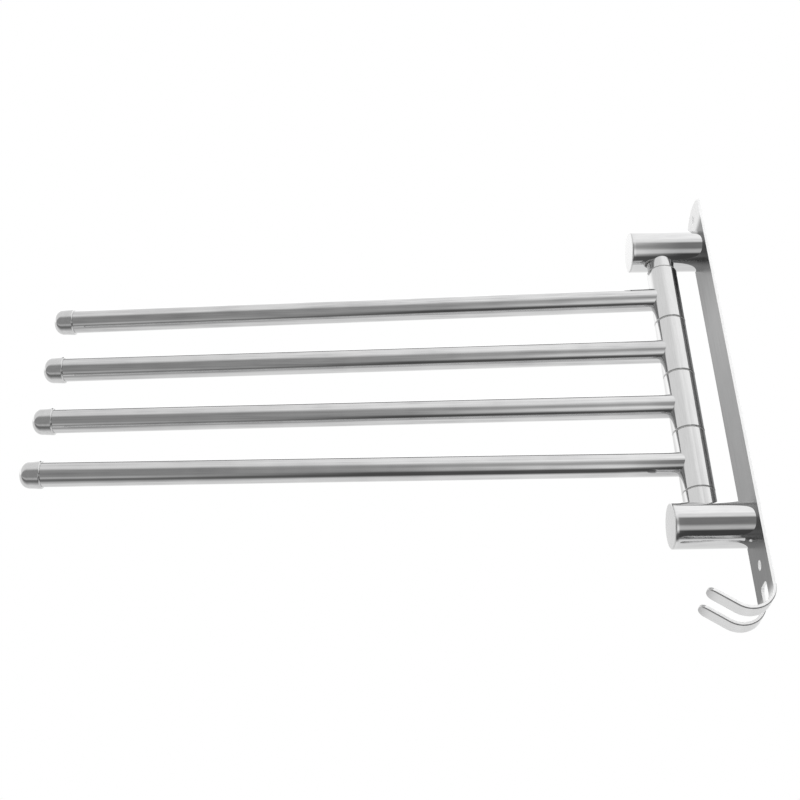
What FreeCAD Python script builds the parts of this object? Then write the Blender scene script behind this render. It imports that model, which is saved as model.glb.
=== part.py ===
"""Swing arm towel bar: four arms on one upright pivot, held off a wall plate by two posts.

Frame, in millimetres: the origin is on the back face of the wall plate, half way between the two
wall screw holes. +Z is up, -Y points out from the wall and X runs along the wall. The arms stand
out along -Y, each turned by the few degrees of splay that it has at rest.
"""

import FreeCAD, Part
import Sketcher
import math
import os
from FreeCAD import Placement, Rotation, Vector

doc = FreeCAD.newDocument("SwingArmTowelBar")

# --- Driving dimensions -------------------------------------------------------------------------

SIZES = [
    # wall plate, one strip of sheet steel whose lower end is slit and bent up into two hooks
    ("plate_width", 32.5, "strip width"),
    ("plate_thickness", 2.0, "strip thickness"),
    ("plate_end_margin", 8.8, "upper wall hole up to the top of the curved end"),
    ("plate_end_radius", 29.0, "curve of that top end"),
    ("wall_hole_diameter", 5.5, "wall screw holes"),
    ("upper_hole_rise", 26.6, "upper post axis up to the upper wall hole"),
    ("lower_hole_drop", 24.9, "lower post axis down to the lower wall hole"),
    ("hook_bend_below_hole", 18.3, "lower wall hole down to the start of the hook bend"),
    ("hook_inner_radius", 12.2, "inside radius of the hook bend"),
    ("hook_rise_angle", 33.9, "slope of the prongs above level, degrees"),
    ("hook_rise_length", 17.5, "straight part of each prong"),
    ("hook_tip_radius", 4.5, "rounded corners of the prong tips"),
    ("slit_width", 11.5, "gap between the two prongs"),
    ("slit_below_hole", 11.4, "lower wall hole down to the top of the gap"),
    ("slit_corner_radius", 2.5, "corners at the top of the gap"),
    # posts that hold the pivot off the plate
    ("post_length", 45.5, "post, out from the front of the plate"),
    ("post_diameter", 26.3, "post tube, outside"),
    ("post_wall", 1.5, "post tube wall"),
    ("post_rim_bevel", 1.0, "bevel round the closed end of a post"),
    ("end_disc_thickness", 2.5, "disc that closes a post"),
    ("end_disc_spigot", 3.0, "part of that disc inside the tube"),
    ("core_end_gap", 2.0, "space between the threaded block inside a post and its end disc"),
    ("post_screw_diameter", 5.0, "screw from behind the plate into a post"),
    ("post_screw_length", 14.0, "that screw, head included"),
    ("post_screw_head", 8.4, "its countersunk head, widest"),
    ("post_screw_key", 3.0, "hexagon socket in its head, across flats"),
    ("post_screw_key_depth", 1.2, "depth of that socket"),
    ("thread_run_out", 1.0, "threaded hole past the end of the screw"),
    # upright pivot
    ("pivot_offset", 26.6, "front of the plate out to the pivot axis"),
    ("rod_overrun", 6.0, "pivot rod past each post axis"),
    ("column_diameter", 19.0, "swivel sleeves and lower collar, outside"),
    ("lower_collar_rise", 19.8, "lower post axis up to the top of its collar"),
    ("upper_collar_drop", 18.2, "upper post axis down to the foot of its collar"),
    ("upper_collar_inset", 1.2, "upper collar inside the round of the sleeves, on the radius"),
    ("arm_pitch", 40.0, "from one arm to the next"),
    ("washer_thickness", 0.5, "nylon washer in each seam"),
    ("washer_inset", 0.6, "that washer inside the round of the sleeves, on the radius"),
    # swinging arms
    ("sleeve_wall", 1.5, "swivel sleeve wall"),
    ("sleeve_bevel", 0.7, "bevel at each end of a sleeve"),
    ("bush_wall", 1.93, "nylon bush wall, which leaves a 12 mm rod inside"),
    ("bush_length", 10.0, "nylon bush, two to a sleeve"),
    ("arm_reach", 386.6, "pivot axis to the tip of an arm"),
    ("arm_drop", 0.4, "arm axis below the middle of its sleeve"),
    ("arm_diameter", 14.2, "arm tube, outside"),
    ("arm_wall", 1.2, "arm tube wall"),
    ("cap_diameter", 16.6, "arm end cap, outside"),
    ("cap_length", 12.5, "arm end cap, along the arm"),
    ("cap_end_wall", 3.5, "closed end of that cap"),
    ("cap_rounding", 5.4, "rounding of its closed end"),
    ("cap_lip_rounding", 0.8, "rounding of its open end"),
    ("arm_1_splay_angle", 2.1, "arm 1 at rest, degrees from square to the wall"),
    ("arm_2_splay_angle", 1.5, "arm 2 at rest"),
    ("arm_3_splay_angle", 0.9, "arm 3 at rest"),
    ("arm_4_splay_angle", 0.0, "arm 4 at rest"),
    # clearances
    ("press_gap", 0.02, "between pieces pressed together, on the radius"),
    ("running_gap", 0.05, "between a bush or washer and what it turns on"),
]

sheet = doc.addObject("Spreadsheet::Sheet", "Sizes")
for row, (alias, number, meaning) in enumerate(SIZES, start=1):
    sheet.set(f"A{row}", alias)
    sheet.set(f"B{row}", str(number))
    sheet.set(f"C{row}", meaning)
    sheet.setAlias(f"B{row}", alias)
doc.recompute()

ARMS = (1, 2, 3, 4)  # counted from the top
SEAMS = range(1, len(ARMS) + 2)  # one above each arm, and one under the last
SAME = 1e-6  # two measures this close count as equal
NODES = {}  # node name: the object whose shape is that piece

# --- Places that several pieces share, as expressions ---------------------------------------------

PLATE_FRONT = "(-Sizes.plate_thickness)"
PIVOT_Y = "(-Sizes.plate_thickness - Sizes.pivot_offset)"
STACK_HEIGHT = f"({len(ARMS)} * Sizes.arm_pitch + Sizes.washer_thickness)"
POST_SPACING = f"(Sizes.lower_collar_rise + {STACK_HEIGHT} + Sizes.upper_collar_drop)"
HOLE_SPACING = f"(Sizes.lower_hole_drop + {POST_SPACING} + Sizes.upper_hole_rise)"
UPPER_HOLE_Z = f"({HOLE_SPACING} / 2)"
LOWER_HOLE_Z = f"(-{HOLE_SPACING} / 2)"
UPPER_POST_Z = f"({UPPER_HOLE_Z} - Sizes.upper_hole_rise)"
LOWER_POST_Z = f"({LOWER_HOLE_Z} + Sizes.lower_hole_drop)"
STACK_Z = f"({LOWER_POST_Z} + Sizes.lower_collar_rise)"
BEND_Z = f"({LOWER_HOLE_Z} - Sizes.hook_bend_below_hole)"
POST_BORE_RADIUS = "(Sizes.post_diameter / 2 - Sizes.post_wall)"
SLEEVE_BORE_RADIUS = "(Sizes.column_diameter / 2 - Sizes.sleeve_wall)"
BUSH_RADIUS = f"({SLEEVE_BORE_RADIUS} - Sizes.press_gap)"
BUSH_BORE_RADIUS = f"({BUSH_RADIUS} - Sizes.bush_wall)"
ROD_RADIUS = f"({BUSH_BORE_RADIUS} - Sizes.running_gap)"
ROD_SEAT_RADIUS = f"({ROD_RADIUS} + Sizes.press_gap)"
SLEEVE_LENGTH = "(Sizes.arm_pitch - Sizes.washer_thickness - 2 * Sizes.running_gap)"
SEAT_Z = f"({STACK_Z} + Sizes.washer_thickness + Sizes.running_gap)"


def seam_z(seam):
    """Underside of the washer in a seam. The first is above arm 1, and the last is on the collar."""
    return f"({STACK_Z} + {len(SEAMS) - seam} * Sizes.arm_pitch)"


def sleeve_z(arm):
    """Lower end of an arm's sleeve."""
    return f"({len(ARMS) - arm} * Sizes.arm_pitch + {SEAT_Z})"


# --- Small tools ------------------------------------------------------------------------------------


def value(expression):
    """What an expression comes to with the sheet's present numbers."""
    return float(sheet.evalExpression(expression))


def bind(thing, expressions):
    """Ties properties of an object, or constraints of a sketch, to expressions."""
    for target, expression in expressions.items():
        thing.setExpression(target, expression)


def place(thing, x="0", y="0", z="0"):
    """Ties the position of an object to expressions."""
    bind(thing, {"Placement.Base.x": x, "Placement.Base.y": y, "Placement.Base.z": z})
    return thing


def node(name, thing):
    """Makes an object the piece that is written under this name."""
    thing.Label = name
    NODES[name] = thing
    return thing


def origin_plane(body, role):
    """One of the three planes at a body's own origin."""
    return [plane for plane in body.Origin.OriginFeatures if plane.Role == role][0]


def new_sketch(body, name, role):
    """An empty sketch on one of the body's origin planes."""
    sketch = body.newObject("Sketcher::SketchObject", name)
    sketch.AttachmentSupport = (origin_plane(body, role), [""])
    sketch.MapMode = "FlatFace"
    return sketch


def fix_point(sketch, geometry, end, x, y):
    """Holds one end of a line or arc, or a circle's centre, at two expressions."""
    for kind, expression in (("DistanceX", x), ("DistanceY", y)):
        number = value(expression)
        index = sketch.addConstraint(Sketcher.Constraint(kind, -1, 1, geometry, end, number))
        sketch.setExpression(f"Constraints[{index}]", expression)


def outline(sketch, corners, arcs=()):
    """Draws a closed outline through corners, a list of (x, y) expressions.

    arcs says which sides are arcs: {side: (centre x, centre y, runs anticlockwise)}.
    """
    arcs = dict(arcs)
    START, END, CENTRE = 1, 2, 3  # the points of a line or arc, as a constraint numbers them
    points = [Vector(value(x), value(y), 0) for x, y in corners]
    for side, start in enumerate(points):
        end = points[(side + 1) % len(points)]
        if side not in arcs:
            sketch.addGeometry(Part.LineSegment(start, end), False)
            continue
        centre_x, centre_y, anticlockwise = arcs[side]
        centre = Vector(value(centre_x), value(centre_y), 0)
        ends = (start, end) if anticlockwise else (end, start)
        first, last = [math.atan2(point.y - centre.y, point.x - centre.x) for point in ends]
        circle = Part.Circle(centre, Vector(0, 0, 1), (start - centre).Length)
        sketch.addGeometry(Part.ArcOfCircle(circle, first, last), False)

    def ends_of(side):
        runs_backwards = side in arcs and not arcs[side][2]
        return (END, START) if runs_backwards else (START, END)

    for side in range(len(points)):
        following = (side + 1) % len(points)
        start, end = ends_of(side)
        joined = Sketcher.Constraint("Coincident", side, end, following, ends_of(following)[0])
        sketch.addConstraint(joined)
        fix_point(sketch, side, start, *corners[side])
    for side, (_, centre_y, _) in arcs.items():
        height = Sketcher.Constraint("DistanceY", -1, 1, side, CENTRE, value(centre_y))
        index = sketch.addConstraint(height)
        sketch.setExpression(f"Constraints[{index}]", centre_y)
    return sketch


def turned(name, corners, axis="Z"):
    """A body turned from a closed section of (radius, distance along the axis) corners."""
    body = doc.addObject("PartDesign::Body", name + "_body")
    plane = {"Z": "XZ_Plane", "Y": "XY_Plane"}[axis]
    section = outline(new_sketch(body, name + "_section", plane), corners)
    turn = body.newObject("PartDesign::Revolution", name + "_turn")
    turn.Profile = section
    turn.ReferenceAxis = (section, ["V_Axis"])
    turn.Angle = 360
    doc.recompute()
    return body


def tube(name, outer, inner, start, end, axis="Z"):
    """A plain tube or ring: outer and inner radius, and its two ends along the axis."""
    corners = [(inner, start), (outer, start), (outer, end), (inner, end)]
    return turned(name, corners, axis)


def rod(name, radius, length, x="0", y="0", z="0"):
    """An upright solid cylinder, standing on the point given."""
    cylinder = doc.addObject("Part::Cylinder", name)
    bind(cylinder, {"Radius": radius, "Height": length})
    return place(cylinder, x, y, z)


def cut(name, base, tool):
    """base with tool taken away."""
    result = doc.addObject("Part::Cut", name)
    result.Base = base
    result.Tool = tool
    return result


def edges_where(shape, wanted):
    """Names of the edges of a shape for which wanted(edge) is true."""
    return [f"Edge{i}" for i, edge in enumerate(shape.Edges, start=1) if wanted(edge)]


def dress(body, kind, name, base, edges, property_name, expression):
    """A fillet or chamfer on named edges of the feature before it."""
    feature = body.newObject("PartDesign::" + kind, name)
    feature.Base = (base, edges)
    bind(feature, {property_name: expression})
    doc.recompute()
    return feature


# --- Wall plate with its double hook ------------------------------------------------------------------


def make_back_plate():
    """One strip: flat with a curved top, bent up below and slit into two prongs, and drilled."""
    body = doc.addObject("PartDesign::Body", "back_plate_body")
    half = "Sizes.plate_width / 2"
    top_z = f"({UPPER_HOLE_Z} + Sizes.plate_end_margin)"
    curve_z = f"({top_z} - Sizes.plate_end_radius)"
    shoulder_z = f"({curve_z} + sqrt(Sizes.plate_end_radius ^ 2 - ({half}) ^ 2))"

    # flat strip with a curved top end, one thickness deep towards the room
    face = outline(
        new_sketch(body, "strip_face", "XZ_Plane"),
        [(f"-{half}", BEND_Z), (half, BEND_Z), (half, shoulder_z), (f"-{half}", shoulder_z)],
        {2: ("0", curve_z, True)},
    )
    strip = body.newObject("PartDesign::Pad", "strip")
    strip.Profile = face
    bind(strip, {"Length": "Sizes.plate_thickness"})
    doc.recompute()
    if strip.Shape.BoundBox.YMax > value("Sizes.plate_thickness") / 2:
        strip.Reversed = True

    # the bend and the rising straight, drawn from the side over the full width
    slope = "Sizes.hook_rise_angle * 1 deg"
    inner, outer = "Sizes.hook_inner_radius", "(Sizes.hook_inner_radius + Sizes.plate_thickness)"
    bend_y = f"({PLATE_FRONT} - {inner})"

    def bend_end(radius):
        return (f"{bend_y} - {radius} * sin({slope})", f"{BEND_Z} - {radius} * cos({slope})")

    def prong_end(radius):
        y, z = bend_end(radius)
        run = "Sizes.hook_rise_length"
        return (f"{y} - {run} * cos({slope})", f"{z} + {run} * sin({slope})")

    side = outline(
        new_sketch(body, "hook_side", "YZ_Plane"),
        [
            ("0", BEND_Z),
            (PLATE_FRONT, BEND_Z),
            bend_end(inner),
            prong_end(inner),
            prong_end(outer),
            bend_end(outer),
        ],
        {1: (bend_y, BEND_Z, False), 5: (bend_y, BEND_Z, True)},
    )
    hook = body.newObject("PartDesign::Pad", "hook")
    hook.Profile = side
    hook.SideType = "Symmetric"
    bind(hook, {"Length": "Sizes.plate_width"})
    doc.recompute()

    # the slit that parts the prongs
    gap = "Sizes.slit_width / 2"
    slit_z = f"({LOWER_HOLE_Z} - Sizes.slit_below_hole)"
    below_z = f"({BEND_Z} - 2 * {outer})"
    slit_face = outline(
        new_sketch(body, "slit_face", "XZ_Plane"),
        [(f"-{gap}", below_z), (gap, below_z), (gap, slit_z), (f"-{gap}", slit_z)],
    )
    slit = body.newObject("PartDesign::Pocket", "slit")
    slit.Profile = slit_face
    slit.SideType = "Symmetric"
    slit.Type = "ThroughAll"
    doc.recompute()

    # rounded corners: top of the slit, then the prong tips
    thickness = value("Sizes.plate_thickness")
    slit_top = value(slit_z)
    corners = edges_where(
        slit.Shape,
        lambda e: abs(e.Length - thickness) < SAME
        and abs(e.CenterOfMass.z - slit_top) < SAME
        and e.BoundBox.YLength > thickness / 2,
    )
    rounded = dress(body, "Fillet", "slit_corners", slit, corners, "Radius", "Sizes.slit_corner_radius")
    tip_y = (value(prong_end(inner)[0]) + value(prong_end(outer)[0])) / 2
    tips = edges_where(
        rounded.Shape,
        lambda e: abs(e.Length - thickness) < SAME
        and abs(e.CenterOfMass.y - tip_y) < SAME
        and e.BoundBox.XLength < SAME,
    )
    rounded = dress(body, "Fillet", "prong_tips", rounded, tips, "Radius", "Sizes.hook_tip_radius")

    # wall screw holes and the holes for the post screws, which are countersunk from behind
    holes = new_sketch(body, "hole_face", "XZ_Plane")
    screw_hole = "(Sizes.post_screw_diameter + 2 * Sizes.press_gap)"
    for index, (diameter, z) in enumerate(
        [
            ("Sizes.wall_hole_diameter", UPPER_HOLE_Z),
            ("Sizes.wall_hole_diameter", LOWER_HOLE_Z),
            (screw_hole, UPPER_POST_Z),
            (screw_hole, LOWER_POST_Z),
        ]
    ):
        centre = Vector(0, value(z), 0)
        holes.addGeometry(Part.Circle(centre, Vector(0, 0, 1), value(diameter) / 2), False)
        fix_point(holes, index, 3, "0", z)
        size = holes.addConstraint(Sketcher.Constraint("Diameter", index, value(diameter)))
        holes.setExpression(f"Constraints[{size}]", diameter)
    drilled = body.newObject("PartDesign::Pocket", "drilled_holes")
    drilled.Profile = holes
    drilled.SideType = "Symmetric"
    drilled.Type = "ThroughAll"
    doc.recompute()
    mouths = edges_where(
        drilled.Shape,
        lambda e: isinstance(e.Curve, Part.Circle)
        and abs(e.Curve.Radius - value(screw_hole) / 2) < SAME
        and abs(e.CenterOfMass.y) < SAME,
    )
    sink = "(Sizes.post_screw_head - Sizes.post_screw_diameter) / 2"
    dress(body, "Chamfer", "countersinks", drilled, mouths, "Size", sink)
    return node("back_plate", body)


# --- Posts --------------------------------------------------------------------------------------------


def make_post(name, post_z, rod_from_above):
    """Tube, end disc, threaded core and screw of one post, drawn with the plate's front at y = 0."""
    radius = "Sizes.post_diameter / 2"
    bore = POST_BORE_RADIUS
    fitted = f"({bore} - Sizes.press_gap)"
    tube_end = "-(Sizes.post_length - Sizes.end_disc_thickness)"
    hole_length = "(Sizes.post_diameter / 2 + Sizes.rod_overrun)"
    hole_start = "(-Sizes.rod_overrun)" if rod_from_above else "(-Sizes.post_diameter / 2)"

    def rod_hole(suffix):
        tool = f"{name}_{suffix}_rod_hole"
        return rod(tool, ROD_SEAT_RADIUS, hole_length, y="(-Sizes.pivot_offset)", z=hole_start)

    shell = tube(name + "_shell", radius, bore, "0", tube_end, axis="Y")
    post_tube = cut(name + "_tube_cut", shell, rod_hole("tube"))

    bevel = "Sizes.post_rim_bevel"
    spigot_end = f"({tube_end} + Sizes.end_disc_spigot)"
    disc = turned(
        name + "_disc",
        [
            ("0", "-Sizes.post_length"),
            (f"{radius} - {bevel}", "-Sizes.post_length"),
            (radius, f"-Sizes.post_length + {bevel}"),
            (radius, tube_end),
            (fitted, tube_end),
            (fitted, spigot_end),
            ("0", spigot_end),
        ],
        axis="Y",
    )

    thread = "(Sizes.post_screw_diameter / 2 + Sizes.press_gap)"
    thread_end = "-(Sizes.post_screw_length - Sizes.plate_thickness + Sizes.thread_run_out)"
    core_end = f"({spigot_end} + Sizes.core_end_gap)"
    block = turned(
        name + "_block",
        [
            (thread, "0"),
            (fitted, "0"),
            (fitted, core_end),
            ("0", core_end),
            ("0", thread_end),
            (thread, thread_end),
        ],
        axis="Y",
    )
    core = cut(name + "_core_cut", block, rod_hole("core"))

    head = "Sizes.post_screw_head / 2"
    shank = "Sizes.post_screw_diameter / 2"
    sunk = "(Sizes.plate_thickness - Sizes.press_gap)"
    head_foot = f"({sunk} - ({head} - {shank}))"
    blank = turned(
        name + "_screw_blank",
        [
            ("0", sunk),
            (head, sunk),
            (shank, head_foot),
            (shank, f"{sunk} - Sizes.post_screw_length"),
            ("0", f"{sunk} - Sizes.post_screw_length"),
        ],
        axis="Y",
    )
    socket = doc.addObject("Part::Prism", name + "_screw_socket")
    socket.Polygon = 6
    socket.Placement = Placement(Vector(0, 0, 0), Rotation(Vector(1, 0, 0), 90))
    key_corner = "Sizes.post_screw_key / 2 / cos(30 deg)"
    bind(socket, {"Circumradius": key_corner, "Height": "Sizes.post_screw_key_depth"})
    place(socket, y=sunk)
    screw = cut(name + "_screw_cut", blank, socket)

    pieces = (("tube", post_tube), ("end_disc", disc), ("core", core), ("screw", screw))
    for suffix, thing in pieces:
        node(f"{name}_{suffix}", place(thing, y=PLATE_FRONT, z=post_z))


# --- Upright pivot --------------------------------------------------------------------------------------


def make_pivot():
    """Rod between the posts, a collar against each post and a nylon washer in each seam."""
    foot = f"({LOWER_POST_Z} - Sizes.rod_overrun)"
    length = f"{POST_SPACING} + 2 * Sizes.rod_overrun"
    node("pivot_rod", rod("pivot_rod", ROD_RADIUS, length, y=PIVOT_Y, z=foot))

    # each collar is coped to the round of its post
    column = "Sizes.column_diameter / 2"
    upper_start = f"{seam_z(1)} + Sizes.washer_thickness"
    for name, radius, start, end, post_z in (
        ("lower_collar", column, LOWER_POST_Z, STACK_Z, LOWER_POST_Z),
        ("upper_collar", f"{column} - Sizes.upper_collar_inset", upper_start, UPPER_POST_Z, UPPER_POST_Z),
    ):
        ring = tube(name + "_ring", radius, ROD_SEAT_RADIUS, start, end)
        place(ring, y=PIVOT_Y)
        post = rod(name + "_cope", "Sizes.post_diameter / 2", "Sizes.post_length", y=PLATE_FRONT, z=post_z)
        post.Placement = Placement(post.Placement.Base, Rotation(Vector(1, 0, 0), 90))
        place(post, y=PLATE_FRONT, z=post_z)
        node(name, cut(name + "_cut", ring, post))

    for seam in SEAMS:
        name = f"seam_washer_{seam}"
        rim = f"{column} - Sizes.washer_inset"
        washer = tube(name, rim, BUSH_BORE_RADIUS, "0", "Sizes.washer_thickness")
        node(name, place(washer, y=PIVOT_Y, z=seam_z(seam)))


# --- Swinging arms --------------------------------------------------------------------------------------


def make_arm(arm):
    """Sleeve, two bushes, tube and end cap of one arm, drawn with the sleeve's lower end at the origin."""
    outer = "Sizes.column_diameter / 2"
    bevel = "Sizes.sleeve_bevel"
    arm_radius = "Sizes.arm_diameter / 2"
    axis_z = f"({SLEEVE_LENGTH} / 2 - Sizes.arm_drop)"
    pieces = {}

    pieces["sleeve"] = turned(
        f"sleeve_{arm}",
        [
            (SLEEVE_BORE_RADIUS, "0"),
            (f"{outer} - {bevel}", "0"),
            (outer, bevel),
            (outer, f"{SLEEVE_LENGTH} - {bevel}"),
            (f"{outer} - {bevel}", SLEEVE_LENGTH),
            (SLEEVE_BORE_RADIUS, SLEEVE_LENGTH),
        ],
    )

    for end, foot, top in (
        ("lower", "0", "Sizes.bush_length"),
        ("upper", f"{SLEEVE_LENGTH} - Sizes.bush_length", SLEEVE_LENGTH),
    ):
        name = f"bush_{end}"
        pieces[name] = tube(f"{name}_{arm}", BUSH_RADIUS, BUSH_BORE_RADIUS, foot, top)

    # the tube's root is coped to the round of the sleeve
    tube_end = "-(Sizes.arm_reach - Sizes.cap_end_wall)"
    bore = f"({arm_radius} - Sizes.arm_wall)"
    blank = place(tube(f"arm_{arm}_blank", arm_radius, bore, "0", tube_end, axis="Y"), z=axis_z)
    cope = rod(f"arm_{arm}_cope", outer, SLEEVE_LENGTH)
    pieces["tube"] = cut(f"arm_{arm}_tube_cut", blank, cope)

    # cap: a cup over the end of the tube, with a domed closed end
    cap_radius = "Sizes.cap_diameter / 2"
    seat = f"({arm_radius} + Sizes.press_gap)"
    mouth = "-(Sizes.arm_reach - Sizes.cap_length)"
    dome = "Sizes.cap_rounding"
    lip = "Sizes.cap_lip_rounding"
    cap = doc.addObject("PartDesign::Body", f"cap_{arm}_body")
    section = outline(
        new_sketch(cap, f"cap_{arm}_section", "XY_Plane"),
        [
            ("0", "-Sizes.arm_reach"),
            ("0", tube_end),
            (seat, tube_end),
            (seat, mouth),
            (f"{cap_radius} - {lip}", mouth),
            (cap_radius, f"{mouth} - {lip}"),
            (cap_radius, f"-Sizes.arm_reach + {dome}"),
            (f"{cap_radius} - {dome}", "-Sizes.arm_reach"),
        ],
        {
            4: (f"{cap_radius} - {lip}", f"{mouth} - {lip}", False),
            6: (f"{cap_radius} - {dome}", f"-Sizes.arm_reach + {dome}", False),
        },
    )
    turn = cap.newObject("PartDesign::Revolution", f"cap_{arm}_turn")
    turn.Profile = section
    turn.ReferenceAxis = (section, ["V_Axis"])
    turn.Angle = 360
    doc.recompute()
    pieces["end_cap"] = cap

    # stood on the pivot and swung to its place at rest
    for suffix, thing in pieces.items():
        lift = f"{sleeve_z(arm)} + {axis_z}" if suffix == "end_cap" else sleeve_z(arm)
        thing.Placement = Placement(Vector(0, 0, 0), Rotation(Vector(0, 0, 1), -1))
        bind(thing, {"Placement.Rotation.Angle": f"-Sizes.arm_{arm}_splay_angle * 1 deg"})
        node(f"arm_{arm}_{suffix}", place(thing, y=PIVOT_Y, z=lift))


make_back_plate()
make_post("lower_post", LOWER_POST_Z, rod_from_above=True)
make_post("upper_post", UPPER_POST_Z, rod_from_above=False)
make_pivot()
for arm_number in ARMS:
    make_arm(arm_number)
doc.recompute()

# --- Checks, then one STEP file for each piece ------------------------------------------------------------

for thing in doc.Objects:
    if "Invalid" in thing.State or "Error" in thing.State:
        raise RuntimeError(f"{thing.Label} did not compute: {thing.State}")
for name, thing in NODES.items():
    shape = thing.Shape
    if shape.isNull() or not shape.isValid() or len(shape.Solids) != 1:
        raise RuntimeError(f"{name} is not one valid solid")

os.makedirs("parts", exist_ok=True)
for name, thing in NODES.items():
    thing.Shape.exportStep(f"parts/{name}.step")
    box = thing.Shape.BoundBox
    print(f"{name}: {thing.Shape.Volume:.1f} mm3, z {box.ZMin:.2f} to {box.ZMax:.2f}")
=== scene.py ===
"""Looks of the swing arm towel bar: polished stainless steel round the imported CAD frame.

The sections follow the bar as it is put together: wall plate, posts, collars, swivel sleeves and
their washers, arms, end caps, and last the studio. The bar's sizes are written in millimetres, as
so many MM, and those of the studio in metres. Places come from the boxes of the CAD nodes.
"""

import math

import bmesh
import bpy
from mathutils import Matrix, Vector


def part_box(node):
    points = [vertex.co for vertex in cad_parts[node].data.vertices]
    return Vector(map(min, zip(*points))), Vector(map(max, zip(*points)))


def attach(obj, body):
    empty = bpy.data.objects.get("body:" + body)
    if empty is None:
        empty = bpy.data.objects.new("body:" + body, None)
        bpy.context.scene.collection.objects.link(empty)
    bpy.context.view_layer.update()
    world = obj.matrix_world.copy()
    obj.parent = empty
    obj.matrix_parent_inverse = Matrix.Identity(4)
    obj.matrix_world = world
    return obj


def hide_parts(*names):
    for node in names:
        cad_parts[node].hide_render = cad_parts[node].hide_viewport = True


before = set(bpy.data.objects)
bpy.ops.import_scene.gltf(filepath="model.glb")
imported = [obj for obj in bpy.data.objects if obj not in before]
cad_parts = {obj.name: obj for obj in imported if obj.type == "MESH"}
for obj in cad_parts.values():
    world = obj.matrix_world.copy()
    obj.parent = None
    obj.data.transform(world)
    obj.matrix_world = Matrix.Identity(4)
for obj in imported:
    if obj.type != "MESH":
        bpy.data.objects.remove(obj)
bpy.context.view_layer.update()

# --- Wall plate with its double hook ------------------------------------------------------------
# One strip of 2 mm stainless sheet, AISI 304. It is punched, slit up from its lower end and bent
# up into two prongs, which are the hook. Belt grinding along the strip leaves it satin.

MM = 0.001
NEARLY = 0.001 * MM  # points closer together than this are one point

plate_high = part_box("back_plate")[1]
plate_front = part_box("upper_post_tube")[1].y
plate_thickness = plate_high.y - plate_front
half_width = plate_high.x
end_radius = 29 * MM
end_centre_z = plate_high.z - end_radius
end_half_angle = math.asin(half_width / end_radius)

wall_hole_z = 125 * MM
wall_hole_radius = 2.75 * MM
slit_half_width = 5.75 * MM
slit_below_hole = 11.4 * MM
slit_top = -wall_hole_z - slit_below_hole
slit_corner = 2.5 * MM
bend_below_hole = 18.3 * MM
bend_z = -wall_hole_z - bend_below_hole
bend_inner_radius = 12.2 * MM
prong_slope = math.radians(33.9)
prong_length = 17.5 * MM
prong_tip_radius = 4.5 * MM
front_edge_rounding = 0.25 * MM
hole_rounding = 0.15 * MM
back_edge_rounding = 0.75 * MM

post_z = {}
for end in ("upper", "lower"):
    low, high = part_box(f"{end}_post_tube")
    post_z[end] = (low.z + high.z) / 2


def arc(bm, start, centre, axis, angle, steps):
    """Draws an arc of edges by spinning one vertex about centre, and returns its last vertex."""
    drawn = bmesh.ops.spin(
        bm, geom=[start], cent=centre, axis=axis, angle=angle, steps=steps
    )
    return [v for v in drawn["geom_last"] if isinstance(v, bmesh.types.BMVert)][0]


def sharp_edges(bm, degrees):
    """Edges where two faces meet at more than this angle."""
    limit = math.radians(degrees)
    return [e for e in bm.edges if e.is_manifold and e.calc_face_angle() > limit]


def round_over(bm, edges, radius, segments):
    """Rounds edges to a radius, as a file or a polishing wheel does."""
    bmesh.ops.bevel(
        bm,
        geom=list(edges),
        offset=radius,
        offset_type="OFFSET",
        affect="EDGES",
        segments=segments,
        profile=0.5,
        material=-1,
        clamp_overlap=True,
    )


bm = bmesh.new()
# the strip's own directions: up the wall, across the strip, and out into the room
up, across, out = Vector((0, 0, 1)), Vector((1, 0, 0)), Vector((0, -1, 0))


def on_front(x, z):
    """A point on the front face of the plate."""
    return Vector((x, plate_front, z))


# outline of the flat part, starting at the curved top and running down the -X side
shoulder_z = end_centre_z + end_radius * math.cos(end_half_angle)
first = bm.verts.new(on_front(half_width, shoulder_z))
last = arc(bm, first, on_front(0, end_centre_z), out, 2 * end_half_angle, 32)
inner_x = slit_half_width - slit_corner
for x, z in (
    (-half_width, bend_z),
    (-slit_half_width, bend_z),
    (-slit_half_width, slit_top - slit_corner),
):
    corner = bm.verts.new(on_front(x, z))
    bm.edges.new((last, corner))
    last = corner
last = arc(bm, last, on_front(-inner_x, slit_top - slit_corner), -out, math.pi / 2, 8)
corner = bm.verts.new(on_front(inner_x, slit_top))
bm.edges.new((last, corner))
last = arc(bm, corner, on_front(inner_x, slit_top - slit_corner), -out, math.pi / 2, 8)
for x, z in ((slit_half_width, bend_z), (half_width, bend_z)):
    corner = bm.verts.new(on_front(x, z))
    bm.edges.new((last, corner))
    last = corner
bm.edges.new((last, first))

# punched holes: two for the wall screws, two for the screws that hold the posts
post_screw_radius = 2.52 * MM
countersink_radius = 4.22 * MM
face_room = Matrix.Rotation(math.pi / 2, 4, "X")
for z, radius in (
    (wall_hole_z, wall_hole_radius),
    (-wall_hole_z, wall_hole_radius),
    (post_z["upper"], post_screw_radius),
    (post_z["lower"], post_screw_radius),
):
    place = Matrix.Translation(on_front(0, z)) @ face_room
    bmesh.ops.create_circle(bm, cap_ends=False, radius=radius, segments=48, matrix=place)
bmesh.ops.triangle_fill(bm, use_beauty=True, use_dissolve=False, edges=bm.edges[:], normal=out)

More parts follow.
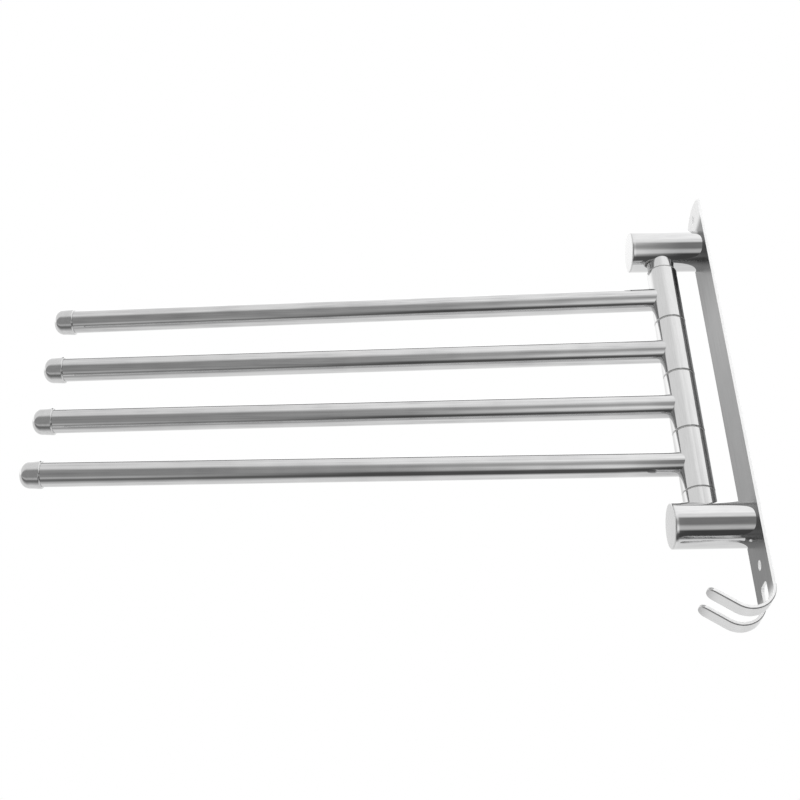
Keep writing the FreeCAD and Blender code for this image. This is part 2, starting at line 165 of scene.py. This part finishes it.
# thickness, and the countersinks from behind
thick = bmesh.ops.extrude_face_region(bm, geom=bm.faces[:], use_keep_orig=True)
behind = [v for v in thick["geom"] if isinstance(v, bmesh.types.BMVert)]
bmesh.ops.translate(bm, verts=behind, vec=-out * plate_thickness)
for z in post_z.values():
    mouth = [v for v in behind if math.hypot(v.co.x, v.co.z - z) < post_screw_radius + NEARLY]
    bmesh.ops.scale(
        bm,
        verts=mouth,
        vec=Vector((1, 1, 1)) * (countersink_radius / post_screw_radius),
        space=Matrix.Translation((0, -plate_high.y, -z)),
    )
bmesh.ops.recalc_face_normals(bm, faces=bm.faces)

# each prong is bent from its end face, then runs straight
bend_centre = Vector((0, plate_front - bend_inner_radius, bend_z))
for side in (-1, 1):
    end_face = [
        f
        for f in bm.faces
        if abs(f.calc_center_median().z - bend_z) < NEARLY and f.calc_center_median().x * side > 0
    ]
    bent = bmesh.ops.spin(
        bm,
        geom=end_face,
        cent=bend_centre,
        axis=-across,
        angle=math.pi / 2 + prong_slope,
        steps=40,
    )
    tip = [f for f in bent["geom_last"] if isinstance(f, bmesh.types.BMFace)]
    run = bmesh.ops.extrude_face_region(bm, geom=tip)
    run_verts = [v for v in run["geom"] if isinstance(v, bmesh.types.BMVert)]
    rising = out * math.cos(prong_slope) + up * math.sin(prong_slope)
    bmesh.ops.translate(bm, verts=run_verts, vec=rising * prong_length)
    run_edges = {e for v in run_verts for e in v.link_edges if e.other_vert(v) in run_verts}
    through = [e for e in run_edges if abs(e.calc_length() - plate_thickness) < NEARLY]
    # the faces that the bend and the run started from would be left inside the metal
    bmesh.ops.delete(bm, geom=end_face + tip, context="FACES_ONLY")
    round_over(bm, through, prong_tip_radius, 12)
bmesh.ops.recalc_face_normals(bm, faces=bm.faces)


def from_bend(point):
    """How far a point of a prong is from its bend's axis, or on its run, square to the run."""
    arm = point - bend_centre
    arm.x = 0
    return arm.length if arm.dot(rising) < NEARLY else arm.dot(-rising.cross(across))


def at_a_hole(vert):
    """On one of the four punched holes."""
    centres = (wall_hole_z, -wall_hole_z, *post_z.values())
    off_centre = min(math.hypot(vert.co.x, vert.co.z - z) for z in centres)
    return off_centre < countersink_radius + NEARLY


def at_the_back(vert):
    """On the face of the strip that lies on the wall, and so on the outside of the prongs."""
    on_prong = vert.co.z < bend_z
    outside = from_bend(vert.co) > bend_inner_radius + plate_thickness / 2
    return vert.co.y > plate_high.y - NEARLY or (on_prong and outside)


hole_rims, back_edges, front_edges = [], [], []
for edge in sharp_edges(bm, 50):
    if all(at_a_hole(v) for v in edge.verts):
        hole_rims.append(edge)
    elif all(at_the_back(v) for v in edge.verts):
        back_edges.append(edge)
    else:
        front_edges.append(edge)
for edges, radius, segments in (
    (back_edges, back_edge_rounding, 5),
    (hole_rims, hole_rounding, 2),
    (front_edges, front_edge_rounding, 3),
):
    round_over(bm, [e for e in edges if e.is_valid], radius, segments)


def linear(hex_colour):
    """An sRGB colour such as #CECECE as the linear values that Blender's sockets take."""
    channels = [int(hex_colour[i : i + 2], 16) / 255 for i in (1, 3, 5)]
    return (*[c / 12.92 if c <= 0.04045 else ((c + 0.055) / 1.055) ** 2.4 for c in channels], 1)


def add(tree, kind, inputs=None, **settings):
    """Adds one node, with its settings, and its inputs as values or as links from sockets."""
    node = tree.nodes.new(kind)
    for name, value in settings.items():
        setattr(node, name, value)
    for socket, value in (inputs or {}).items():
        if isinstance(value, bpy.types.NodeSocket):
            tree.links.new(value, node.inputs[socket])
        else:
            node.inputs[socket].default_value = value
    return node


def steel(name, pale, dark, roughness, grain, stretch, depth):
    """Stainless steel with a polishing grain over faint broad clouds.

    The lines that belts and wheels leave are 0.02 to 0.1 mm apart, too fine to show here, so grain,
    their width in mm, is as coarse as it needs to be. stretch says how many times as long they are
    along X, Y and Z, depth is their depth in mm, and roughness has a lowest and a highest value.
    """
    material = bpy.data.materials.new(name)
    material.use_nodes = True
    tree = material.node_tree
    tree.nodes.clear()
    place = add(tree, "ShaderNodeTexCoord").outputs["Object"]
    along = add(
        tree, "ShaderNodeMapping", {"Vector": place, "Scale": [1 / s for s in stretch]}
    ).outputs[0]
    scratches = add(
        tree,
        "ShaderNodeTexNoise",
        {"Vector": along, "Scale": 1 / (grain * MM), "Detail": 3.0, "Roughness": 0.6},
    ).outputs["Fac"]
    cloud_width = 18 * MM
    clouds = add(
        tree, "ShaderNodeTexNoise", {"Vector": place, "Scale": 1 / cloud_width, "Detail": 2.0}
    ).outputs["Fac"]
    # noise keeps mostly to its middle values, which are spread over the whole range
    streaks = add(
        tree, "ShaderNodeMapRange", {"Value": scratches, "From Min": 0.35, "From Max": 0.65}
    ).outputs[0]
    mixed = add(tree, "ShaderNodeMath", {0: streaks, 1: clouds}, operation="MULTIPLY").outputs[0]
    colour = add(
        tree,
        "ShaderNodeMix",
        {"Factor": mixed, "A": linear(pale), "B": linear(dark)},
        data_type="RGBA",
    ).outputs["Result"]
    smoothest, roughest = roughness
    gloss = add(
        tree,
        "ShaderNodeMapRange",
        {
            "Value": scratches,
            "From Min": 0.3,
            "From Max": 0.7,
            "To Min": smoothest,
            "To Max": roughest,
        },
    ).outputs[0]
    relief = add(
        tree,
        "ShaderNodeBump",
        {"Height": scratches, "Distance": depth * MM, "Strength": 1.0},
    ).outputs[0]
    surface = add(
        tree,
        "ShaderNodeBsdfPrincipled",
        {"Base Color": colour, "Metallic": 1.0, "Roughness": gloss, "Normal": relief},
    )
    add(tree, "ShaderNodeOutputMaterial", {"Surface": surface.outputs[0]})
    return material


def piece(name, bm, material, body, slot, *nodes):
    """Puts a finished mesh in the scene as one piece of the bar, in place of CAD nodes."""
    bmesh.ops.remove_doubles(bm, verts=bm.verts, dist=NEARLY / 10)
    bmesh.ops.recalc_face_normals(bm, faces=bm.faces)
    for face in bm.faces:
        face.smooth = True
    mesh = bpy.data.meshes.new(name)
    bm.to_mesh(mesh)
    bm.free()
    mesh.set_sharp_from_angle(angle=math.radians(40))
    mesh.materials.append(material)
    made = bpy.data.objects.new(name, mesh)
    bpy.context.scene.collection.objects.link(made)
    weighted = made.modifiers.new("flat faces stay flat", "WEIGHTED_NORMAL")
    weighted.keep_sharp = True
    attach(made, body)
    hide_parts(*nodes)
    return made


# AISI 304 ground with a belt: a soft grey sheen that mirrors nothing sharply, with hairlines that
# run along the strip. The grey is much darker than bare steel: painted shade for the column and the
# arms in front of the plate
painted_satin_sheet = steel(
    "satin_sheet_painted_light_and_shade",
    pale="#878787",
    dark="#767677",
    roughness=(0.30, 0.42),
    grain=0.5,
    stretch=(1, 80, 80),
    depth=0.002,
)
# its grey changes along and across the strip: painted shade makes it darker below each post, and
# painted light makes it paler towards +X and at both ends. A row has the axis, where the change
# begins and ends, its share, how it runs, and the painted grey it goes to.
tree = painted_satin_sheet.node_tree
surface = tree.nodes["Principled BSDF"]
grey = surface.inputs["Base Color"].links[0].from_socket
spot = add(
    tree, "ShaderNodeSeparateXYZ", {0: add(tree, "ShaderNodeTexCoord").outputs["Object"]}
).outputs
for axis, begins, ends, share, run, painted_grey in (
    ("X", -half_width, half_width, 0.16, "LINEAR", "#CACACA"),
    ("Z", 40 * MM, 86 * MM, 0.7, "LINEAR", "#4C4C4C"),  # below the upper post
    ("Z", -86 * MM, -106 * MM, 0.6, "LINEAR", "#4C4C4C"),  # below the lower post
    ("Z", 110 * MM, 118 * MM, 1.0, "SMOOTHSTEP", "#CACACA"),  # top end
    ("Z", -140 * MM, -150 * MM, 1.0, "SMOOTHSTEP", "#DEDEDE"),  # prongs
):
    change = add(
        tree,
        "ShaderNodeMapRange",
        {"Value": spot[axis], "From Min": begins, "From Max": ends, "To Max": share},
        interpolation_type=run,
    ).outputs[0]
    grey = add(
        tree,
        "ShaderNodeMix",
        {"Factor": change, "A": grey, "B": linear(painted_grey)},
        data_type="RGBA",
    ).outputs["Result"]
tree.links.new(grey, surface.inputs["Base Color"])

# a sheared or punched edge is torn, so it scatters light where the ground faces mirror it; its near
# white, with the metal turned down, is a painted highlight
edge_highlight = steel(
    "sheared_edge_painted_highlight",
    pale="#F6F6F6",
    dark="#ECECEC",
    roughness=(0.42, 0.5),
    grain=0.6,
    stretch=(1, 20, 20),
    depth=0.001,
)
edge_highlight.node_tree.nodes["Principled BSDF"].inputs["Metallic"].default_value = 0.3

# the bending die burnishes the outer corners of the prongs, which then mirror the dark below them
# as a thin line
burnished_corner = steel(
    "burnished_prong_corner",
    pale="#B4B4B4",
    dark="#A2A2A2",
    roughness=(0.14, 0.22),
    grain=0.6,
    stretch=(1, 20, 20),
    depth=0.001,
)

plate = piece("wall_plate_with_hook", bm, painted_satin_sheet, "bracket", "plate_steel", "back_plate")
plate.data.materials.append(edge_highlight)
plate.data.materials.append(burnished_corner)
# the strip's edges and the rims of its holes are torn and get the painted highlight, and the
# prongs' outer corners are burnished
for face in plate.data.polygons:
    on_flat = face.center.z > bend_z
    sideways = abs(face.normal.x)
    if sideways > 0.9 or (on_flat and abs(face.normal.y) < 0.95):
        face.material_index = 1
    elif sideways > 0.15 and from_bend(face.center) > bend_inner_radius + plate_thickness / 2:
        face.material_index = 2

# --- Posts ----------------------------------------------------------------------------------------
# Each post is a length of stainless tube with a disc pressed into its open end and ground
# flush. A block inside takes a countersunk screw from behind the plate, and holds the pivot rod.

post_radius = 13.15 * MM
post_bore = 11.65 * MM
post_end = 43 * MM
disc_thickness = 2.5 * MM
disc_spigot = 3 * MM
disc_rim = 1.0 * MM
press_fit = 0.02 * MM  # left between two faces that really touch, so that they don't flicker


def turned(section, segments=96):
    """Spins a closed section of (radius, distance along the axis) corners round the Z axis."""
    bm = bmesh.new()
    corners = [bm.verts.new((radius, 0, along)) for radius, along in section]
    sides = [bm.edges.new(pair) for pair in zip(corners, corners[1:] + corners[:1])]
    bmesh.ops.spin(
        bm,
        geom=corners + sides,
        cent=(0, 0, 0),
        axis=(0, 0, 1),
        angle=2 * math.pi,
        steps=segments,
        use_merge=True,
    )
    bmesh.ops.remove_doubles(bm, verts=bm.verts, dist=NEARLY / 10)
    bmesh.ops.recalc_face_normals(bm, faces=bm.faces)
    return bm


def rings(bm, radius, along):
    """The edges of a turned mesh that lie on one circle about its axis."""
    return [
        e
        for e in bm.edges
        if all(
            abs(v.co.z - along) < NEARLY and abs(v.co.xy.length - radius) < NEARLY
            for v in e.verts
        )
    ]


# buffed to a mirror, which shows the studio in crisp bands that waver a little along the tube
polished_post = steel(
    "polished_stainless_post_tube",
    pale="#D4D4D4",
    dark="#C4C4C5",
    roughness=(0.02, 0.04),
    grain=1.6,
    stretch=(1, 8, 1),
    depth=0.0012,
)
# ground flush on a fine wheel: an even, pale sheen with hairlines across the disc
brushed_disc = steel(
    "fine_ground_stainless_disc",
    pale="#CBCBCB",
    dark="#BDBDBD",
    roughness=(0.16, 0.24),
    grain=0.5,
    stretch=(30, 1, 1),
    depth=0.001,
)
for end, height in post_z.items():
    stand = Matrix.Translation(on_front(0, height)) @ face_room
    bm = turned(
        [(post_bore, 0), (post_radius, 0), (post_radius, post_end), (post_bore, post_end)]
    )
    bm.transform(stand)
    piece(f"{end}_post", bm, polished_post, "bracket", "tube_steel", f"{end}_post_tube")
    fitted = post_bore - press_fit
    bm = turned(
        [
            (0, post_end - disc_spigot),
            (fitted, post_end - disc_spigot),
            (fitted, post_end),
            (post_radius, post_end),
            (post_radius, post_end + disc_thickness),
            (0, post_end + disc_thickness),
        ]
    )
    round_over(bm, rings(bm, post_radius, post_end + disc_thickness), disc_rim, 4)
    bm.transform(stand)
    disc = piece(
        f"{end}_post_disc", bm, polished_post, "bracket", "tube_steel", f"{end}_post_end_disc"
    )
    disc.data.materials.append(brushed_disc)
    for face in disc.data.polygons:
        if face.normal.dot(out) > 0.3:
            face.material_index = 1

# bright turned bar, seen only down the holes: rings left by the tool give it a soft shine
turned_steel = steel(
    "turned_stainless_bar",
    pale="#BDBDBD",
    dark="#A8A8A8",
    roughness=(0.22, 0.36),
    grain=0.25,
    stretch=(30, 30, 1),
    depth=0.003,
)
# cold-formed and tumbled in the lot: duller, with a mottle from the tumbling stones
screw_steel = steel(
    "stainless_socket_screw",
    pale="#C2C2C0",
    dark="#A6A6A4",
    roughness=(0.24, 0.4),
    grain=0.4,
    stretch=(4, 4, 4),
    depth=0.004,
)


def refinish(node, material):
    """Gives a CAD node that stays in the scene its own finish."""
    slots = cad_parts[node].data.materials
    slots.clear()
    slots.append(material)


for end in ("upper", "lower"):
    refinish(f"{end}_post_core", turned_steel)
    refinish(f"{end}_post_screw", screw_steel)
refinish("pivot_rod", turned_steel)

# --- Collars --------------------------------------------------------------------------------------
# Short rings of polished tube between the column and each post, the upper one narrower. The end
# against the post is cut to its round and welded, with the weld polished away.

rod_low, rod_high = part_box("pivot_rod")
pivot = Vector((0, (rod_low.y + rod_high.y) / 2, 0))
rod_seat = 6.02 * MM
blank_height = 5 * MM  # before the far end is cut to the round of the post
ring_rounding = 0.3 * MM

# buffed like the posts and wiped along its length, so its bands are a little softer
polished_column = steel(
    "polished_stainless_column_tube",
    pale="#D0D0D0",
    dark="#C2C2C2",
    roughness=(0.06, 0.11),
    grain=0.5,
    stretch=(1, 1, 20),
    depth=0.001,
)
for end, towards_post in (("upper", 1), ("lower", -1)):
    low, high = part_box(f"{end}_collar")
    radius = (high.x - low.x) / 2
    seam = low.z if end == "upper" else high.z
    bm = turned(
        [(rod_seat, 0), (radius, 0), (radius, blank_height), (rod_seat, blank_height)],
        segments=128,
    )
    for v in bm.verts:
        if v.co.z > NEARLY:
            fit = math.sqrt(post_radius**2 - v.co.x**2)
            v.co.z = (post_z[end] - towards_post * fit - seam) * towards_post
    round_over(bm, rings(bm, radius, 0), ring_rounding, 3)
    if towards_post < 0:
        bmesh.ops.scale(bm, verts=bm.verts, vec=(1, 1, -1))
    bm.transform(Matrix.Translation(pivot + up * seam))
    piece(f"{end}_ring", bm, polished_column, "bracket", "tube_steel", f"{end}_collar")

# --- Swivel sleeves and washers -------------------------------------------------------------------
# Four sleeves of polished tube turn on the rod, on two nylon bushes each. A nylon washer in each
# seam keeps them from rubbing. It is a little narrower than they are, so a seam shows as a line.

sleeve_radius = 9.5 * MM
sleeve_bore = 8 * MM
sleeve_rounding = 0.6 * MM
washer_radius = 9.2 * MM
washer_bore = 6.05 * MM


# moulded nylon in a mid grey: satin and a little uneven, with the fine pits that a mould leaves,
# which are drawn 0.6 mm wide to show at all
pit_width = 0.6 * MM
natural_nylon = bpy.data.materials.new("natural_moulded_nylon")
natural_nylon.use_nodes = True
tree = natural_nylon.node_tree
tree.nodes.clear()
pits = add(
    tree,
    "ShaderNodeTexNoise",
    {
        "Vector": add(tree, "ShaderNodeTexCoord").outputs["Object"],
        "Scale": 1 / pit_width,
        "Detail": 3.0,
    },
).outputs["Fac"]
shade = add(
    tree,
    "ShaderNodeMix",
    {"Factor": pits, "A": linear("#B2B2B1"), "B": linear("#9C9C9B")},
    data_type="RGBA",
).outputs["Result"]
gloss = add(
    tree, "ShaderNodeMapRange", {"Value": pits, "To Min": 0.38, "To Max": 0.55}
).outputs[0]
relief = add(tree, "ShaderNodeBump", {"Height": pits, "Distance": 0.02 * MM}).outputs[0]
moulded = add(
    tree,
    "ShaderNodeBsdfPrincipled",
    {"Base Color": shade, "Roughness": gloss, "IOR": 1.53, "Normal": relief},
)
add(tree, "ShaderNodeOutputMaterial", {"Surface": moulded.outputs[0]})

ARMS = (1, 2, 3, 4)
for arm in ARMS:
    low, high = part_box(f"arm_{arm}_sleeve")
    length = high.z - low.z
    bm = turned(
        [(sleeve_bore, 0), (sleeve_radius, 0), (sleeve_radius, length), (sleeve_bore, length)],
        segments=128,
    )
    ends = rings(bm, sleeve_radius, 0) + rings(bm, sleeve_radius, length)
    round_over(bm, ends, sleeve_rounding, 4)
    bm.transform(Matrix.Translation(pivot + up * low.z))
    piece(
        f"arm_{arm}_swivel",
        bm,
        polished_column,
        f"swing_arm_{arm}",
        "tube_steel",
        f"arm_{arm}_sleeve",
    )
    for place in ("upper", "lower"):
        refinish(f"arm_{arm}_bush_{place}", natural_nylon)

for seam in range(1, len(ARMS) + 2):
    low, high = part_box(f"seam_washer_{seam}")
    bm = turned(
        [
            (washer_bore, low.z),
            (washer_radius, low.z),
            (washer_radius, high.z),
            (washer_bore, high.z),
        ],
        segments=96,
    )
    bm.transform(Matrix.Translation(pivot))
    piece(f"seam_ring_{seam}", bm, natural_nylon, "bracket", "nylon", f"seam_washer_{seam}")

# --- Arms -----------------------------------------------------------------------------------------
# Thin stainless tube, drawn and polished lengthwise. The inner end is cut to the round of its
# sleeve and welded to it, and the weld is polished down to a fine line.

arm_radius = 7.1 * MM
arm_bore = 5.9 * MM
arm_tube_end = 383.1 * MM
splay_degrees = {1: 2.1, 2: 1.5, 3: 0.9, 4: 0.0}

# drawn and polished lengthwise, which leaves long fine streaks in what it mirrors
polished_arm = steel(
    "polished_stainless_arm_tube",
    pale="#D2D2D2",
    dark="#A8A8A9",
    roughness=(0.04, 0.09),
    grain=1.3,
    stretch=(1, 70, 1),
    depth=0.002,
)
arm_place = {}
for arm in ARMS:
    low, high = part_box(f"arm_{arm}_tube")
    turn = Matrix.Rotation(math.radians(-splay_degrees[arm]), 4, "Z")
    arm_place[arm] = Matrix.Translation(pivot + up * (low.z + high.z) / 2) @ turn @ face_room
    bm = turned(
        [(arm_bore, 0), (arm_radius, 0), (arm_radius, arm_tube_end), (arm_bore, arm_tube_end)]
    )
    for v in bm.verts:
        if v.co.z < NEARLY:
            v.co.z = math.sqrt(sleeve_radius**2 - v.co.x**2)
    bm.transform(arm_place[arm])
    piece(f"arm_{arm}_bar", bm, polished_arm, f"swing_arm_{arm}", "tube_steel", f"arm_{arm}_tube")

# --- End caps -------------------------------------------------------------------------------------
# Deep drawn stainless caps pushed over the ends of the arms. The closed end is domed and the rim
# at the open end is rolled round, which catches the light.

cap_radius = 8.3 * MM
cap_start = 374.1 * MM
cap_length = 12.5 * MM
cap_end_wall = 3.5 * MM
cap_rounding = 5.4 * MM
cap_lip = 0.8 * MM
cap_waist = 0.4 * MM

# deep drawn and buffed: a mirror with a faint orange peel from the drawing
polished_cap = steel(
    "polished_drawn_stainless_cap",
    pale="#CFCFCF",
    dark="#BEBEBE",
    roughness=(0.07, 0.14),
    grain=0.7,
    stretch=(3, 3, 3),
    depth=0.004,
)
cap_end = cap_start + cap_length
fitted = arm_radius + press_fit
waist = cap_radius - cap_waist
for arm in ARMS:
    bm = turned(
        [
            (fitted, cap_start),
            (cap_radius, cap_start),
            (waist, cap_start + cap_length / 2),
            (waist, cap_end),
            (0, cap_end),
            (0, cap_end - cap_end_wall),
            (fitted, cap_end - cap_end_wall),
        ]
    )
    round_over(bm, rings(bm, waist, cap_end), cap_rounding, 12)
    round_over(bm, rings(bm, cap_radius, cap_start), cap_lip, 5)
    bm.transform(arm_place[arm])
    piece(f"arm_{arm}_cap", bm, polished_cap, f"swing_arm_{arm}", "cap_steel", f"arm_{arm}_end_cap")

# --- Floor and studio -----------------------------------------------------------------------------
# A plain pale floor well below the bar. Polished steel has no look of its own and shows what
# stands round it, so the world is a photographer's tent: white walls and a bright roof, with the
# grey floor and the dark gap that the steel in the photograph shows low down on the camera's side.

floor_reach = 6.0
floor_below_bar = 1.2
bm = bmesh.new()
bmesh.ops.create_grid(bm, x_segments=1, y_segments=1, size=floor_reach)
bmesh.ops.translate(bm, verts=bm.verts, vec=-up * floor_below_bar)
floor_mesh = bpy.data.meshes.new("studio_floor")
bm.to_mesh(floor_mesh)
bm.free()
floor = bpy.data.objects.new("studio_floor", floor_mesh)
bpy.context.scene.collection.objects.link(floor)
floor.visible_glossy = False
# matt background paper: even and nearly white, with fibres that only just break it up
paper = bpy.data.materials.new("matt_studio_paper")
paper.use_nodes = True
tree = paper.node_tree
tree.nodes.clear()
fibres = add(
    tree,
    "ShaderNodeTexNoise",
    {
        "Vector": add(tree, "ShaderNodeTexCoord").outputs["Object"],
        "Scale": 40.0,
        "Detail": 4.0,
    },
).outputs["Fac"]
shade = add(
    tree,
    "ShaderNodeMix",
    {"Factor": fibres, "A": linear("#F4F4F4"), "B": linear("#EEEEEE")},
    data_type="RGBA",
).outputs["Result"]
matt = add(tree, "ShaderNodeBsdfPrincipled", {"Base Color": shade, "Roughness": 0.9})
add(tree, "ShaderNodeOutputMaterial", {"Surface": matt.outputs[0]})
floor_mesh.materials.append(paper)

world = bpy.data.worlds.new("photo_tent")
bpy.context.scene.world = world
world.use_nodes = True
tree = world.node_tree
tree.nodes.clear()
direction = add(
    tree, "ShaderNodeSeparateXYZ", {0: add(tree, "ShaderNodeTexCoord").outputs["Generated"]}
)
turn = add(
    tree,
    "ShaderNodeMath",
    {0: direction.outputs["Z"], 1: direction.outputs["X"]},
    operation="ARCTAN2",
).outputs[0]
round_tent = add(
    tree,
    "ShaderNodeMapRange",
    {"Value": turn, "From Min": -math.pi, "From Max": math.pi},
).outputs[0]

BRIGHTEST = 1.65  # white in a ramp stands for this much light

# Each wall of the tent is a few bands of even light, with the light changing evenly between them.
# A band has the angles where it begins and ends, and its brightness. The angles go from level
# behind the bar (-180) under it (-90), up the camera's side (0) and over the roof (90) to level
# behind it again (180).
by_the_tips = [
    (-180, -130, 0.97),  # far floor
    (-92, -78, 0.22),  # gap under the tent
    (-68, -60, 0.60),  # strip of floor in front
    (-50, 6, 0.36),  # grey cloth
    (26, 84, 1.00),  # front wall
    (118, 134, 1.50),  # roof
    (150, 180, 0.97),  # back wall
]
by_the_middle = [
    (-180, -114, 1.00),
    (-93, -62, 0.10),
    (-46, 2, 0.46),
    (26, 80, 1.15),
    (116, 134, 1.58),
    (147, 180, 1.08),
]
by_the_roots = [
    (-180, -116, 1.04),
    (-94, -66, 0.12),
    (-46, -32, 1.12),
    (-14, -4, 0.53),
    (28, 84, 1.25),
    (116, 134, 1.60),
    (146, 180, 1.08),
]
by_the_wall = [
    (-180, -98, 0.95),
    (-94, -88, 0.30),
    (-83, -52, 0.07),
    (-43, -32, 0.65),
    (-20, 10, 0.25),
    (20, 30, 1.05),
    (40, 88, 1.30),
    (104, 134, 1.48),
    (148, 180, 1.05),
]

# Each wall takes over from the one before it as the light comes from nearer the room's wall. A row
# has its bands and where it begins and ends taking over, if -1 is light straight from the room and
# 1 is light straight from its wall.
surround = None
for bands, begins, ends in (
    (by_the_tips, None, None),
    (by_the_middle, -0.224, -0.02),
    (by_the_roots, -0.02, 0.168),
    (by_the_wall, 0.175, 0.225),
):
    ramp = add(tree, "ShaderNodeValToRGB", {"Fac": round_tent})
    stops = ramp.color_ramp.elements
    edges = [(angle, brightness) for *both, brightness in bands for angle in both]
    while len(stops) < len(edges):
        stops.new(0.5)
    for stop, (angle, brightness) in zip(stops, edges):
        stop.position = angle / 360 + 0.5
        stop.color = (*[brightness / BRIGHTEST] * 3, 1)
    if surround is None:
        surround = ramp.outputs["Color"]
        continue
    share = add(
        tree,
        "ShaderNodeMapRange",
        {"Value": direction.outputs["Y"], "From Min": begins, "From Max": ends},
    ).outputs[0]
    surround = add(
        tree,
        "ShaderNodeMix",
        {"Factor": share, "A": surround, "B": ramp.outputs["Color"]},
        data_type="RGBA",
    ).outputs["Result"]
rays = add(tree, "ShaderNodeLightPath").outputs
reflected = add(tree, "ShaderNodeBackground", {"Color": surround, "Strength": BRIGHTEST})
plain = add(tree, "ShaderNodeBackground", {"Color": (1, 1, 1, 1), "Strength": 1.0})
tent = add(
    tree,
    "ShaderNodeMixShader",
    {0: rays["Is Glossy Ray"], 1: plain.outputs[0], 2: reflected.outputs[0]},
)
add(tree, "ShaderNodeOutputWorld", {"Surface": tent.outputs[0]})

lamp_place = Vector((0.4, -0.6, 2.2))
lamp_aim = Vector((-0.4, 0.4, -2.2))
lamp = bpy.data.lights.new("soft_overhead_lamp", "AREA")
lamp.shape = "DISK"
lamp.size = 2.0
lamp.energy = 12
softbox = bpy.data.objects.new("soft_overhead_lamp", lamp)
softbox.location = lamp_place
softbox.rotation_euler = lamp_aim.to_track_quat("-Z", "Y").to_euler()
softbox.visible_glossy = False
bpy.context.scene.collection.objects.link(softbox)

# --- Camera ---------------------------------------------------------------------------------------
# It stands low, on the +X side and level with the middle of the arms, and looks up along the wall,
# as worked out from the straight lines of the bar in the photograph.

camera_place = Vector((0.61624, -0.19966, -0.42012))
heading, climb, roll = math.radians(0.26), math.radians(33.453), math.radians(-1.054)
camera_data = bpy.data.cameras.new("photo_camera")
camera_data.sensor_width = 36
camera_data.lens = 55.78
camera = bpy.data.objects.new("photo_camera", camera_data)
bpy.context.scene.collection.objects.link(camera)
forward = Vector(
    (-math.cos(heading) * math.cos(climb), math.sin(heading) * math.cos(climb), math.sin(climb))
)
level_right = forward.cross(up).normalized()
level_up = level_right.cross(forward)
right = math.cos(roll) * level_right + math.sin(roll) * level_up
top = math.cos(roll) * level_up - math.sin(roll) * level_right
turned_to_view = Matrix((right, top, -forward)).transposed().to_4x4()
camera.matrix_world = Matrix.Translation(camera_place) @ turned_to_view
bpy.context.scene.camera = camera
bpy.context.scene.view_settings.view_transform = "Standard"
